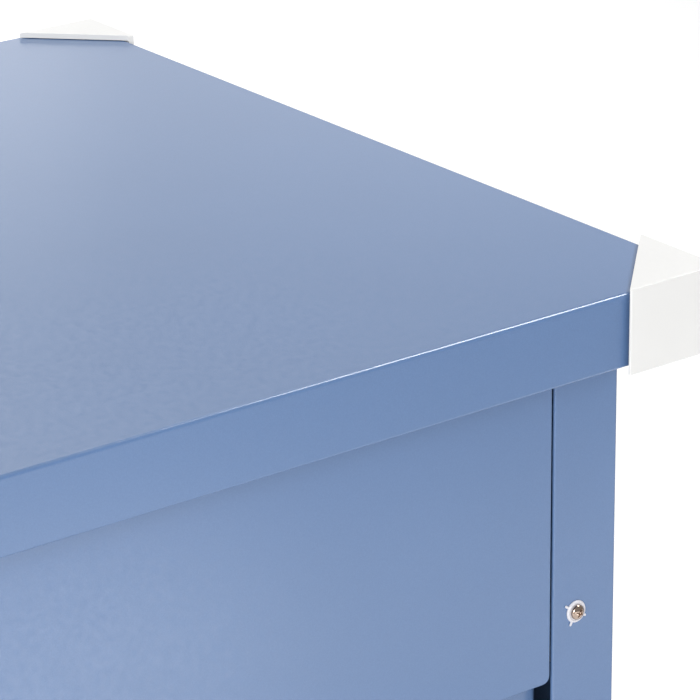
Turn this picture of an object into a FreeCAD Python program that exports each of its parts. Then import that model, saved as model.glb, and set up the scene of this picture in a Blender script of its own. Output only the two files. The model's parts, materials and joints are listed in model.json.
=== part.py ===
"""Medication cart: a powder-coated sheet-steel cabinet on four swivel casters.

Frame: millimetres, +Z up, the drawer side faces -Y, +X is to the right of a person
who faces the drawers.  The origin is on the floor, in the middle of the overall
footprint (the push handle on the left counts, so the cabinet's own middle plane lies
at x = DX, y = DY).

A folded worktop with a deep skirt and four corner bumpers stands on two folded side
panels, which turn round into the front posts.  Four drawers run on three-member
slides.  A key turns a cam that drops a lock bar behind the left post.
"""
import FreeCAD, Part
import math
import os

V = FreeCAD.Vector
os.makedirs("parts", exist_ok=True)

# ---------------------------------------------------------------- driving sizes
TOP_W, TOP_D, TOP_Z = 700.0, 565.0, 1000.0     # worktop, and its height over the floor
SKIRT_H = 38.1                                 # depth of the worktop's folded skirt
T = 1.5                                        # cabinet sheet
TD = 1.2                                       # drawer sheet
OVER = 30.0                                    # overhang of the worktop on all sides
POST_W = 41.5                                  # front post, the turned edge of the side
RETURN_W = 15.0                                # inward return under the skirt
R_BEND = 2.0                                   # outside radius of a folded edge

BODY_W, BODY_D = TOP_W - 2 * OVER, TOP_D - 2 * OVER
XB, YF, YB = BODY_W / 2, -BODY_D / 2, BODY_D / 2
X_OPEN = XB - POST_W                           # half width of the drawer opening
BODY_Z0 = 187.0                                # underside of the cabinet
BODY_Z1 = TOP_Z - T                            # the worktop rests here

GAP_X = 1.3                                    # drawer front to post
RECESS = 12.0                                  # thickness of a drawer front
GUARD_H = 22.0                                 # guard that stands up behind a finger gap
R_CORNER = 4.5                                 # lower and upper corners of a drawer front
DRAWERS = [                                    # bottom and top of each drawer front
    (785.0, 957.0),
    (632.0, 760.0),
    (479.0, 607.0),
    (260.0, 454.0),
]
POST_SCREW_UP = 35.8                           # post screw over the front's lower edge
SLIDE_UP = 34.0                                # slide centre over the front's lower edge
SLIDE_L = 450.0                                # slide length and drawer travel
SLIDE_T, SLIDE_H = 12.7, 45.6                  # slide thickness and height
BOX_X = X_OPEN - SLIDE_T                       # half width of a drawer box
BOX_Y0, BOX_Y1 = YF + RECESS, YF + RECESS + 450.0

POST_SCREW_X = TOP_W / 2 - 56.6                # post screws, from the middle plane
LOCK_X, LOCK_Z = -(XB - 22.0), 931.0           # key lock in the left post
LOCK_THROW, LOCK_CRANK = 12.0, 12.0 / math.sqrt(2.0)
CATCH_UP = 85.0                                # lock catch over the front's lower edge

BUMP_LEG, BUMP_T, BUMP_GAP = 50.0, 3.6, 0.4    # corner bumper
BUMP_DROP = 2.4                                # bumper lip below the skirt
RELIEF, RELIEF_H = 1.3, 0.6                    # relief under the bumper's slanted edge, depth and height
BUMP_END = 2.9                                 # bumper's wall ends, run on past the slanted edge's corner points
END_GAP, END_DEPTH = 1.8, 8.0                  # open gap behind the wall ends, width and depth
REAR_INSET = 2.6                               # rear bumper's back edge, in from the worktop's back edge

HANDLE_D, HANDLE_OUT, HANDLE_Z = 25.0, 72.0, 905.0
HANDLE_HALF, HANDLE_BEND = 185.0, 42.0

ACC_Y, ACC_Z, ACC_MID, ACC_R = 300.0, 64.0, 880.0, 3.3     # accessory holes, right side
BACK_X, BACK_Z, BACK_MID = 400.0, 64.0, 880.0  # accessory holes, back panel
BACK_SCREW_X = XB - 15.0                       # screws that hold the back panel to the rear flanges
BACK_SCREW_Z = (225.0, 404.0, 590.0, 742.0, 905.0)

CASTER_X, CASTER_Y, CASTER_H = 250.0, 190.0, 155.0
WHEEL_D, WHEEL_W, CASTER_TRAIL = 125.0, 32.0, 38.0
AXLE_R = 5.0
PEDAL_PIVOT = (CASTER_TRAIL + 22.0, WHEEL_D / 2 + 66.0)     # brake pin, on the caster plane

X_MIN = -(XB + HANDLE_OUT + HANDLE_D / 2)
X_MAX = TOP_W / 2 + BUMP_GAP + BUMP_T
DX = -(X_MIN + X_MAX) / 2                      # cabinet middle plane in the part frame
Y_MIN = -(TOP_D / 2 + BUMP_GAP + BUMP_T)       # the rear bumpers do not stand out behind
DY = -(Y_MIN + TOP_D / 2) / 2

written = {}


# ---------------------------------------------------------------- helpers
def box(x0, x1, y0, y1, z0, z1):
    return Part.makeBox(abs(x1 - x0), abs(y1 - y0), abs(z1 - z0),
                        V(min(x0, x1), min(y0, y1), min(z0, z1)))


def cyl(r, p, d, h):
    return Part.makeCylinder(r, h, V(*p), V(*d))


def fuse(*s):
    out = s[0].fuse(list(s[1:])) if len(s) > 1 else s[0]
    return out.removeSplitter()


def mid(e):
    return e.valueAt((e.FirstParameter + e.LastParameter) / 2)


def along(e, axis):
    if len(e.Vertexes) < 2:
        return False
    d = e.Vertexes[1].Point.sub(e.Vertexes[0].Point)
    c = [abs(d.x), abs(d.y), abs(d.z)]
    return c["xyz".index(axis)] > 1e-3 and sum(c) - c["xyz".index(axis)] < 1e-6


def fillet(s, r, pick):
    es = [e for e in s.Edges if pick(e)]
    return s.makeFillet(r, es) if es else s


def mirror_x(s):
    return s.mirror(V(0, 0, 0), V(1, 0, 0))


def mirror_y(s):
    return s.mirror(V(0, 0, 0), V(0, 1, 0))


def near(a, b, tol=0.02):
    return abs(a - b) < tol


def export(name, *shapes):
    solids = []
    for s in shapes:
        solids += s.Solids
    for k, s in enumerate(solids):
        if not s.isValid() or s.Volume <= 0:
            print("BAD", name, k, s.isValid(), s.Volume)
    c = Part.makeCompound([s.copy() for s in solids]) if len(solids) > 1 else solids[0].copy()
    c.translate(V(DX, DY, 0))
    c.exportStep("parts/%s.step" % name)
    written[name] = sum(s.Volume for s in solids)


def poly_prism(points, y0, y1, plane):
    """Prism over a closed outline; plane 'yz' runs along X, 'xz' along Y, 'xy' along Z."""
    if plane == "yz":
        ps = [V(y0, a, b) for a, b in points]
        d = V(y1 - y0, 0, 0)
    elif plane == "xz":
        ps = [V(a, y0, b) for a, b in points]
        d = V(0, y1 - y0, 0)
    else:
        ps = [V(a, b, y0) for a, b in points]
        d = V(0, 0, y1 - y0)
    return Part.Face(Part.makePolygon(ps + [ps[0]])).extrude(d)


# ---------------------------------------------------------------- worktop
def worktop():
    z0 = TOP_Z - SKIRT_H
    s = box(-TOP_W / 2, TOP_W / 2, -TOP_D / 2, TOP_D / 2, z0, TOP_Z)
    s = fillet(s, 3.0, lambda e: along(e, "z"))
    s = fillet(s, R_BEND, lambda e: near(mid(e).z, TOP_Z))
    s = fillet(s, 1.5, lambda e: near(mid(e).z, z0))
    hx, hy = TOP_W / 2 - T, TOP_D / 2 - T
    hollow = box(-hx, hx, -hy, hy, z0 + T, TOP_Z - T)
    hollow = fillet(hollow, 1.5, lambda e: along(e, "z"))
    rx, ry = TOP_W / 2 - RETURN_W, TOP_D / 2 - RETURN_W
    mouth = box(-rx, rx, -ry, ry, z0 - 1, z0 + T + 1)
    s = s.cut(hollow).cut(mouth)
    for sx in (-1, 1):
        for sy in (-1, 1):
            x, y = sx * (TOP_W / 2 - 9), sy * (TOP_D / 2 - 9)
            s = s.cut(cyl(2.1, (x, y, z0 - 1), (0, 0, 1), 4))
    return s


export("worktop", worktop())


# ---------------------------------------------------------------- corner bumpers
def bumper():
    """Front right bumper.  Cap over the corner: triangular top plate, two walls, lip."""
    xo, yo = TOP_W / 2, -TOP_D / 2                 # steel corner
    a = BUMP_GAP + BUMP_T
    zt = TOP_Z + BUMP_GAP + BUMP_T - 0.6
    zb = TOP_Z - SKIRT_H - BUMP_DROP - BUMP_GAP
    X1, Y1 = xo + a, yo - a                        # outer faces
    L = BUMP_LEG
    w = BUMP_END
    outer = poly_prism([(X1, Y1), (X1, yo + L + w), (xo + w, yo + L + w), (xo - L - w, yo - w), (xo - L - w, Y1)],
                       zb, zt, "xy")
    outer = fillet(outer, 4.0, lambda e: along(e, "z") and near(mid(e).x, X1) and near(mid(e).y, Y1))
    outer = fillet(outer, 0.7, lambda e: along(e, "z") and (near(mid(e).x, xo - L - w) and near(mid(e).y, Y1)
                                                           or near(mid(e).x, X1) and near(mid(e).y, yo + L + w)))
    outer = fillet(outer, 0.6, lambda e: near(mid(e).z, zt) and (near(mid(e).x, X1) or near(mid(e).y, Y1)))
    # space for the steel corner, open on the inner side
    g = BUMP_GAP
    steel = box(xo - L - 60, xo + g, yo - g, yo + L + 60, TOP_Z - SKIRT_H - g, TOP_Z + g)
    steel = fillet(steel, 3.4, lambda e: along(e, "z") and near(mid(e).x, xo + g) and near(mid(e).y, yo - g))
    s = outer.cut(steel)
    # below the skirt only a lip under the corner stays, with the screw hole
    inner = poly_prism([(xo - L - 5, yo + 5.5), (xo - 16, yo + 5.5), (xo - 5.5, yo + 16), (xo - 5.5, yo + L + 5),
                        (xo - L - 5, yo + L + 5)], zb - 1, TOP_Z - SKIRT_H - g + 0.5, "xy")
    s = s.cut(inner)
    s = s.cut(cyl(2.2, (xo - 9, yo + 9, zb - 1), (0, 0, 1), 6))
    # relief under the slanted edge and a gap behind the wall ends: a fine shadow line all round
    d = RELIEF * math.sqrt(2.0)
    s = s.cut(poly_prism([(xo - L - 2, yo - g - 2 + 2), (xo - L + d, yo - g), (xo + g, yo + L - d), (xo + g, yo + L + 2),
                          (xo - L - 2, yo + L + 2)], TOP_Z, TOP_Z + g + RELIEF_H, "xy"))
    s = s.cut(box(xo - L - w - 1, xo - L + END_DEPTH, yo - END_GAP, yo, TOP_Z - SKIRT_H, TOP_Z))
    s = s.cut(box(xo, xo + END_GAP, yo + L - END_DEPTH, yo + L + w + 1, TOP_Z - SKIRT_H, TOP_Z))
    return s


def rear_bumper():
    """Rear bumper, built at the front right corner and mirrored later.  It has the top plate and the
    side wall, but no wall across the back, so that the cart stands flat against a wall."""
    xo, yo = TOP_W / 2, -TOP_D / 2
    a = BUMP_GAP + BUMP_T
    zt = TOP_Z + BUMP_GAP + BUMP_T - 0.6
    zb = TOP_Z - SKIRT_H - BUMP_DROP - BUMP_GAP
    X1, L, y0 = xo + a, BUMP_LEG, yo + REAR_INSET
    outer = poly_prism([(X1, y0), (X1, yo + L), (xo, yo + L), (xo - L + REAR_INSET, y0)], zb, zt, "xy")
    outer = fillet(outer, 1.5, lambda e: along(e, "z") and near(mid(e).x, X1) and near(mid(e).y, y0))
    outer = fillet(outer, 1.0, lambda e: near(mid(e).z, zt) and mid(e).x > xo + 1.0
                   or near(mid(e).z, zt) and near(mid(e).y, y0))
    g = BUMP_GAP
    steel = box(xo - L - 60, xo + g, yo - 20, yo + L + 60, TOP_Z - SKIRT_H - g, TOP_Z + g)
    s = outer.cut(steel)
    under = poly_prism([(xo - L - 5, yo - 5), (xo - 20, yo - 5), (xo - 20, yo + 8), (xo - 5.5, yo + 20), (xo - 5.5, yo + L + 5),
                        (xo - L - 5, yo + L + 5)], zb - 1, TOP_Z - SKIRT_H - g + 0.5, "xy")
    s = s.cut(under)
    return s.cut(cyl(2.2, (xo - 9, yo + 9, zb - 1), (0, 0, 1), 6))


b = bumper()
export("bumper_front_right", b)
export("bumper_front_left", mirror_x(b))
b = rear_bumper()
export("bumper_rear_right", mirror_y(b))
export("bumper_rear_left", mirror_x(mirror_y(b)))


def pan_screw(head_r, head_h, shank_r, length):
    """Pan-head cross-recess screw, head up, underside of the head at z = 0."""
    r = (head_r ** 2 + head_h ** 2) / (2 * head_h) * 1.25
    head = cyl(head_r, (0, 0, 0), (0, 0, 1), head_h)
    ball = Part.makeSphere(r, V(0, 0, head_h - r))
    head = head.common(ball)
    rec = fuse(box(-head_r * .52, head_r * .52, -.5, .5, head_h - 1.5, head_h + 1),
               box(-.5, .5, -head_r * .52, head_r * .52, head_h - 1.5, head_h + 1))
    head = head.cut(rec)
    return fuse(head, cyl(shank_r, (0, 0, -length), (0, 0, 1), length + 0.01))


def place(s, to, axis=(0, 0, 1), turn=0.0):
    """Copy of s with its +Z turned to axis, its spin set, then moved."""
    c = s.copy()
    c.rotate(V(0, 0, 0), V(0, 0, 1), turn)
    rot = FreeCAD.Rotation(V(0, 0, 1), V(*axis))
    c.Placement = FreeCAD.Placement(V(*to), rot).multiply(c.Placement)
    return c


small = pan_screw(3.6, 2.0, 2.0, 9.0)
zs = TOP_Z - SKIRT_H - BUMP_GAP - BUMP_DROP
screws = [place(small, (sx * (TOP_W / 2 - 9), sy * (TOP_D / 2 - 9), zs), (0, 0, -1))
          for sx in (-1, 1) for sy in (-1, 1)]
screws += [place(small, (sx * BACK_SCREW_X, YB, z), (0, 1, 0), 30) for sx in (-1, 1) for z in BACK_SCREW_Z]
export("panel_screws", *screws)


# ---------------------------------------------------------------- side panels
def side_panel(lock=False):
    """Right side panel: wall, front post, rear flange and top flange, one folded sheet."""
    z0, z1 = BODY_Z0, BODY_Z1
    shell = box(X_OPEN, XB, YF, YB, z0, z1)
    shell = fillet(shell, 2.5, lambda e: along(e, "z") and near(mid(e).x, XB))
    inside = box(X_OPEN - 1, XB - T, YF + T, YB - T, z0 - 1, z1 - T)
    inside = fillet(inside, 1.0, lambda e: along(e, "z") and near(mid(e).x, XB - T))
    s = shell.cut(inside)
    s = s.cut(box(X_OPEN - 1, XB - 20, YF + T + 0.01, YB + 1, z1 - T - 0.5, z1 + 1))   # top flange, 20 wide
    s = s.cut(box(X_OPEN - 1, XB - 30, YB - T - 1, YB + 1, z0 - 1, z1 + 1))            # rear flange, 30 wide
    for zb, zt in DRAWERS:
        s = s.cut(cyl(2.3, (POST_SCREW_X, YF - 1, zb + POST_SCREW_UP), (0, 1, 0), 4))
    if lock:
        for dy in (-HANDLE_HALF, HANDLE_HALF):
            for dz in (-31, 31):
                s = s.cut(cyl(3.1, (XB - 5, dy, HANDLE_Z + dz), (1, 0, 0), 10))
    else:
        for dy in (-ACC_Y / 2, ACC_Y / 2):
            for dz in (-ACC_Z / 2, ACC_Z / 2):
                s = s.cut(cyl(ACC_R, (XB - 5, dy, ACC_MID + dz), (1, 0, 0), 10))
    if lock:
        s = s.cut(cyl(9.05, (-LOCK_X, YF - 1, LOCK_Z), (0, 1, 0), 4))
    for bz in BACK_SCREW_Z:
        s = s.cut(cyl(2.2, (BACK_SCREW_X, YB - 3, bz), (0, 1, 0), 6))
    s = fillet(s, 0.9, lambda e: along(e, "z") and near(mid(e).x, X_OPEN) and near(mid(e).y, YF))
    return s


export("side_panel_right", side_panel())
export("side_panel_left", mirror_x(side_panel(True)))

# ---------------------------------------------------------------- back, bottom, top rails
back = box(-(XB - T - 1.2), XB - T - 1.2, YB - 2 * T, YB - T, BODY_Z0 + 3, BODY_Z1 - T - 1)
for bx in (-BACK_X / 2, BACK_X / 2):
    for bz in (-BACK_Z / 2, BACK_Z / 2):
        back = back.cut(cyl(ACC_R, (bx, YB - 10, BACK_MID + bz), (0, 1, 0), 20))
for bx in (-BACK_SCREW_X, BACK_SCREW_X):
    for bz in BACK_SCREW_Z:
        back = back.cut(cyl(2.2, (bx, YB - 10, bz), (0, 1, 0), 20))
export("back_panel", back)


def z_profile(y_face, zb, z_ledge, guard, t, lower):
    """Outline in (y, z) of a face with a ledge and a guard over it."""
    yr = y_face + RECESS
    return [(y_face, zb), (y_face, z_ledge), (yr - t, z_ledge), (yr - t, z_ledge + guard), (yr, z_ledge + guard),
            (yr, z_ledge - t), (y_face + t, z_ledge - t), (y_face + t, zb + lower)]


def bottom_pan():
    z0 = BODY_Z0
    floor = box(-(XB - T - 1.1), XB - T - 1.1, YF + T + 0.2, YB - 2 * T - 0.2, z0, z0 + T)
    xa = X_OPEN - GAP_X
    zl = DRAWERS[-1][0] - 25.0
    apron = poly_prism([(YF, z0), (YF, zl), (YF + RECESS - T, zl), (YF + RECESS - T, zl + GUARD_H),
                        (YF + RECESS, zl + GUARD_H), (YF + RECESS, zl - T), (YF + T, zl - T), (YF + T, z0)],
                       -xa, xa, "yz")
    apron = fillet(apron, R_BEND, lambda e: along(e, "x") and near(mid(e).y, YF) and near(mid(e).z, zl))
    foot = box(-xa, xa, YF + T - 0.01, YF + T + 0.3, z0, z0 + T)
    up_r = box(-(XB - T - 1.1), XB - T - 1.1, YB - 2 * T - 0.2 - T, YB - 2 * T - 0.2, z0, z0 + 25)
    side = [box(s * (XB - T - 1.1), s * (XB - 2 * T - 1.1), YF + T + 0.2, YB - 2 * T - 0.2, z0, z0 + 25) for s in (-1, 1)]
    return fuse(floor, apron, foot, up_r, *side)


export("bottom_pan", bottom_pan())


def top_rail(front=True):
    z1 = BODY_Z1 - T
    hx = XB - T - 1.1
    y0, y1 = (YF + T + 0.2, YF + 26.0) if front else (YB - 26.0, YB - 2 * T - 0.2)
    yw = (y0, y0 + T) if front else (y1 - T, y1)
    s = fuse(box(-hx, hx, y0, y1, z1 - T, z1), box(-hx, hx, yw[0], yw[1], DRAWERS[0][1] + 3, z1))
    return s


export("top_rails", top_rail(True), top_rail(False))


# ---------------------------------------------------------------- chassis rails under the floor pan
def chassis_rail():
    """U channel, web down, flanges against the floor pan."""
    w, h = 96.0, BODY_Z0 - CASTER_H
    x = XB - 6
    s = box(-x, x, -CASTER_Y - w / 2, -CASTER_Y + w / 2, CASTER_H, BODY_Z0)
    s = fillet(s, 2.0, lambda e: along(e, "x") and near(mid(e).z, CASTER_H))
    s = s.cut(box(-x + 2, x - 2, -CASTER_Y - w / 2 + 2, -CASTER_Y + w / 2 - 2, CASTER_H + 2, BODY_Z0 + 1))
    for cx in (-CASTER_X, CASTER_X):
        for dx in (-36, 36):
            for dy in (-26, 26):
                s = s.cut(cyl(4.3, (cx + dx, -CASTER_Y + dy, CASTER_H - 1), (0, 0, 1), 4))
    return s


export("chassis_rails", chassis_rail(), mirror_y(chassis_rail()))


# ---------------------------------------------------------------- drawer slides
def slide_outer(zc):
    """Cabinet member, right-hand side: C channel with a tab behind the post and a rear tab."""
    y0, y1 = YF + T, YB - 2 * T - 0.2
    x = X_OPEN
    h = SLIDE_H / 2
    web = box(x, x + 1.2, y0, y1, zc - h, zc + h)
    lips = [box(x - 8.0, x + 1.2, YF + RECESS + 12, YF + 2 + SLIDE_L, zc + s * h, zc + s * (h - 1.2)) for s in (-1, 1)]
    tab = box(x, x + 27, y0, y0 + T, zc - 18, zc + 18)
    tab = tab.cut(cyl(2.05, (POST_SCREW_X, y0 - 1, zc + POST_SCREW_UP - SLIDE_UP), (0, 1, 0), 4))
    rear = box(x, x + 27, y1 - T, y1, zc - 18, zc + 18)
    return fuse(web, lips[0], lips[1], tab, rear)


def slide_middle(zc):
    y0, y1 = YF + RECESS + 12, YF + SLIDE_L
    x = X_OPEN
    web = box(x - 5.2, x - 4.0, y0, y1, zc - 19, zc + 19)
    parts = [web]
    for s in (-1, 1):
        parts.append(box(x - 10.5, x - 4.0, y0, y1, zc + s * 19, zc + s * 17.8))
    solid = fuse(*parts)
    cages = []
    for s in (-1, 1):
        # ball strips: the outer pair in the rear half, the inner pair in the front half
        cages.append(box(x - 7.6, x - 4.6, y0 + 235, y1 - 12, zc + s * 19.0, zc + s * 21.3))
        cages.append(box(x - 10.2, x - 7.2, y0 + 12, y0 + 200, zc + s * 17.8, zc + s * 14.3))
    return [solid] + cages


def slide_inner(zc):
    y0, y1 = BOX_Y0 + 1.5, BOX_Y0 + 1.5 + SLIDE_L - 4
    x = X_OPEN - SLIDE_T
    return fuse(box(x, x + 1.2, y0, y1, zc - 14, zc + 14),
                box(x, x + 6.2, y0, y1, zc + 14, zc + 12.8),
                box(x, x + 6.2, y0, y1, zc - 14, zc - 12.8))


def catch(zc):
    """Folded angle on the left side of a drawer box; the lock bar's tab drops in front of it."""
    foot = box(-BOX_X - 1.5, -BOX_X, YF + 31.5, YF + 58.0, zc - 6, zc + 6)
    foot = fillet(foot, 2.5, lambda e: along(e, "x") and mid(e).y > YF + 50)
    lug = box(-BOX_X - 8.0, -BOX_X, YF + 31.5, YF + 33.5, zc - 6, zc + 6)
    return fuse(foot, lug)


outers = []
for zb, zt in DRAWERS:
    o = slide_outer(zb + SLIDE_UP)
    outers += [o, mirror_x(o)]
export("slide_cabinet_members", *outers)
for k, (zb, zt) in enumerate(DRAWERS, 1):
    m = slide_middle(zb + SLIDE_UP)
    export("slide_middle_members_%d" % k, *(m + [mirror_x(q) for q in m]))
    i = slide_inner(zb + SLIDE_UP)
    export("drawer_slides_and_catch_%d" % k, i, mirror_x(i), catch(zb + CATCH_UP))


# ---------------------------------------------------------------- drawers
def drawer_box(k):
    zb, zt = DRAWERS[k]
    z0 = zb + 8.0
    z1 = zt - 4.0 if k == 0 else zt + GUARD_H
    s = box(-BOX_X, BOX_X, BOX_Y0, BOX_Y1, z0, z1)
    s = fillet(s, 1.5, lambda e: along(e, "z") or near(mid(e).z, z0))
    hollow = box(-BOX_X + TD, BOX_X - TD, BOX_Y0 + TD, BOX_Y1 - TD, z0 + TD, z1 + 1)
    hollow = fillet(hollow, 1.2, lambda e: along(e, "z") or near(mid(e).z, z0 + TD))
    return s.cut(hollow)


def drawer_front(k):
    """Folded front: face, side returns with back flanges, top ledge and finger guard."""
    zb, zt = DRAWERS[k]
    hx = X_OPEN - GAP_X
    yb = YF + RECESS
    s = box(-hx, hx, YF, yb, zb, zt)
    s = fillet(s, R_CORNER, lambda e: along(e, "y"))
    s = fillet(s, 1.3, lambda e: near(mid(e).y, YF))
    hollow = box(-hx + TD, hx - TD, YF + TD, yb - TD, zb - 1, zt - TD)
    hollow = fillet(hollow, R_CORNER - TD, lambda e: along(e, "y") and mid(e).z > zt - 2 * TD)
    window = box(-hx + 14, hx - 14, YF + TD + 1, yb + 1, zb - 1, zt - (14 if k == 0 else TD))
    s = s.cut(hollow).cut(window)
    parts = [s, box(-hx + TD + 0.01 - 0.01, hx - TD, YF + TD, YF + 2 * TD, zb + 5.0, zb + 9)]     # hem, lower part
    parts.append(box(-hx + 6, hx - 6, YF + TD, YF + 2 * TD, zb + 0.3, zb + 5.0))
    if k > 0:
        g = box(-hx, hx, yb - TD, yb + 8.0, zt - 6.0, zt + GUARD_H)
        g = fillet(g, 3.5, lambda e: along(e, "z") and near(mid(e).y, yb - TD))
        g = g.cut(fillet(box(-hx + TD, hx - TD, yb, yb + 9.0, zt - 7.0, zt + GUARD_H + 1), 2.3,
                         lambda e: along(e, "z") and near(mid(e).y, yb)))
        g = fillet(g, 0.5, lambda e: near(mid(e).z, zt + GUARD_H) and near(mid(e).y, yb - TD))
        parts.append(g)
    return fuse(*parts)


for k in range(len(DRAWERS)):
    export("drawer_box_%d" % (k + 1), drawer_box(k))
    export("drawer_front_%d" % (k + 1), drawer_front(k))


def dividers():
    """Lengthwise partitions of the top drawer, for three rows of cards, on one base sheet."""
    zb, zt = DRAWERS[0]
    z0 = zb + 8.0 + TD + 0.1
    x = BOX_X - TD - 1.5
    y0, y1 = BOX_Y0 + TD + 1.5, BOX_Y1 - TD - 1.5
    parts = [box(-x, x, y0, y1, z0, z0 + 1.0)]
    for q in (-x / 3, x / 3):
        w = box(q - 0.6, q + 0.6, y0, y1, z0, z0 + 118)
        w = fillet(w, 10.0, lambda e: along(e, "x") and mid(e).z > z0 + 100)
        parts.append(w)
    return fuse(*parts)


export("drawer_1_card_dividers", dividers())


# ---------------------------------------------------------------- post screws and their rings
def lug_ring():
    """Washer with a round raised rim and three lugs, underside at z = 0."""
    prof = [(2.6, 0), (6.0, 0), (6.0, 0.5), (5.6, 1.15), (5.0, 1.3), (4.5, 0.9), (2.6, 0.9)]
    ps = [V(r, 0, z) for r, z in prof]
    ring = Part.Face(Part.makePolygon(ps + [ps[0]])).revolve(V(0, 0, 0), V(0, 0, 1), 360)
    if not isinstance(ring, Part.Solid):
        ring = ring.Solids[0]
    parts = [ring]
    for a, l in ((146.5, 8.6), (241.3, 8.2), (328.0, 7.6)):
        lug = box(5.2, l, -0.65, 0.65, 0, 0.8)
        lug = fillet(lug, 0.6, lambda e: along(e, "z") and near(mid(e).x, l))
        lug.rotate(V(0, 0, 0), V(0, 0, 1), a)
        parts.append(lug)
    return fuse(*parts)


ring = lug_ring()
screw = pan_screw(4.2, 2.7, 2.0, 8.0)
rings, screws = [], []
for zb, zt in DRAWERS:
    for s in (-1, 1):
        p = (s * POST_SCREW_X, YF, zb + POST_SCREW_UP)
        # +Z of the ring looks out of the front; the lugs keep the same look on both posts
        r = ring.copy()
        r.rotate(V(0, 0, 0), V(1, 0, 0), 90)
        r.translate(V(*p))
        rings.append(r)
        q = screw.copy()
        q.rotate(V(0, 0, 0), V(0, 0, 1), 24.0)
        q.rotate(V(0, 0, 0), V(1, 0, 0), 90)
        q.translate(V(p[0], YF - 0.9, p[2]))
        screws.append(q)
export("post_screw_rings", *rings)
export("post_screws", *screws)


# ---------------------------------------------------------------- push handle
def handle():
    r = HANDLE_D / 2
    xs, xo = -XB - 4.0, -XB - HANDLE_OUT
    b = HANDLE_BEND
    h = HANDLE_HALF
    z = HANDLE_Z
    k = b * (1 - math.sqrt(0.5))
    e1 = Part.LineSegment(V(xs, -h, z), V(xo + b, -h, z)).toShape()
    a1 = Part.Arc(V(xo + b, -h, z), V(xo + k, -h + k, z), V(xo, -h + b, z)).toShape()
    e2 = Part.LineSegment(V(xo, -h + b, z), V(xo, h - b, z)).toShape()
    a2 = Part.Arc(V(xo, h - b, z), V(xo + k, h - k, z), V(xo + b, h, z)).toShape()
    e3 = Part.LineSegment(V(xo + b, h, z), V(xs, h, z)).toShape()
    path = Part.Wire([e1, a1, e2, a2, e3])

    def sweep(rad):
        circle = Part.Wire([Part.makeCircle(rad, V(xs, -h, z), V(1, 0, 0))])
        return path.makePipeShell([circle], True, False)

    return sweep(r).cut(sweep(r - 1.5))


export("push_handle", handle())


def handle_bracket(y):
    r = HANDLE_D / 2
    s = box(-XB - 4.0, -XB, y - 19, y + 19, HANDLE_Z - 42, HANDLE_Z + 42)
    s = fillet(s, 6.0, lambda e: along(e, "x"))
    s = fillet(s, 1.0, lambda e: near(mid(e).x, -XB - 4.0))
    collar = cyl(r + 3.5, (-XB - 22, y, HANDLE_Z), (1, 0, 0), 18)
    collar = fillet(collar, 1.0, lambda e: near(mid(e).x, -XB - 22))
    s = fuse(s, collar)
    s = s.cut(cyl(r + 0.05, (-XB - 23, y, HANDLE_Z), (1, 0, 0), 19))
    for dz in (-31, 31):
        s = s.cut(cyl(3.1, (-XB - 10, y, HANDLE_Z + dz), (1, 0, 0), 12))
    return s


export("handle_brackets", handle_bracket(-HANDLE_HALF), handle_bracket(HANDLE_HALF))
hs = pan_screw(5.0, 3.2, 3.0, 10.0)
export("handle_screws", *[place(hs, (-XB - 4.0, y, HANDLE_Z + dz), (-1, 0, 0), 15)
                          for y in (-HANDLE_HALF, HANDLE_HALF) for dz in (-31, 31)])


# ---------------------------------------------------------------- key lock
def lock_barrel():
    bez = cyl(12.0, (LOCK_X, YF - 2.6, LOCK_Z), (0, 1, 0), 2.6)
    bez = fillet(bez, 1.2, lambda e: near(mid(e).y, YF - 2.6))
    body = cyl(9.0, (LOCK_X, YF, LOCK_Z), (0, 1, 0), 21.0)
    nut = poly_prism([(LOCK_X + 13.9 * math.cos(math.radians(a)), LOCK_Z + 13.9 * math.sin(math.radians(a)))
                      for a in range(0, 360, 60)], YF + T, YF + T + 4.0, "xz")
    s = fuse(bez, body)
    nut = nut.cut(cyl(9.03, (LOCK_X, YF, LOCK_Z), (0, 1, 0), 22))
    bore = cyl(6.05, (LOCK_X, YF - 4, LOCK_Z), (0, 1, 0), 30)
    s = s.cut(bore).cut(cyl(7.6, (LOCK_X, YF - 4, LOCK_Z), (0, 1, 0), 2.4))
    return s, nut


lb, ln = lock_barrel()
export("lock_barrel", lb, ln)


def lock_plug():
    p = fuse(cyl(7.5, (LOCK_X, YF - 2.2, LOCK_Z), (0, 1, 0), 0.55), cyl(6.0, (LOCK_X, YF - 2.2, LOCK_Z), (0, 1, 0), 23.6),
             cyl(3.5, (LOCK_X, YF + 21.3, LOCK_Z), (0, 1, 0), 3.6))
    p = p.cut(box(LOCK_X - 0.9, LOCK_X + 0.9, YF - 3, YF + 14, LOCK_Z - 4.2, LOCK_Z + 4.2))
    return p


export("lock_plug", lock_plug())


def lock_cam():
    y = YF + 21.6
    c = LOCK_CRANK * math.sqrt(0.5)
    px, pz = LOCK_X - c, LOCK_Z + c
    disc = cyl(8.0, (LOCK_X, y, LOCK_Z), (0, 1, 0), 1.8)
    eye = cyl(4.4, (px, y, pz), (0, 1, 0), 1.8)
    s = fuse(disc, eye)
    s = s.cut(cyl(3.53, (LOCK_X, y - 1, LOCK_Z), (0, 1, 0), 4))
    return fuse(s, cyl(2.5, (px, y + 1.7, pz), (0, 1, 0), 5.2))


export("lock_cam", lock_cam())

BAR_Y0, BAR_Y1 = YF + 25.6, YF + 28.0
BAR_X0, BAR_X1 = -(XB - 6.0), -(X_OPEN + 9.0)


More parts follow.
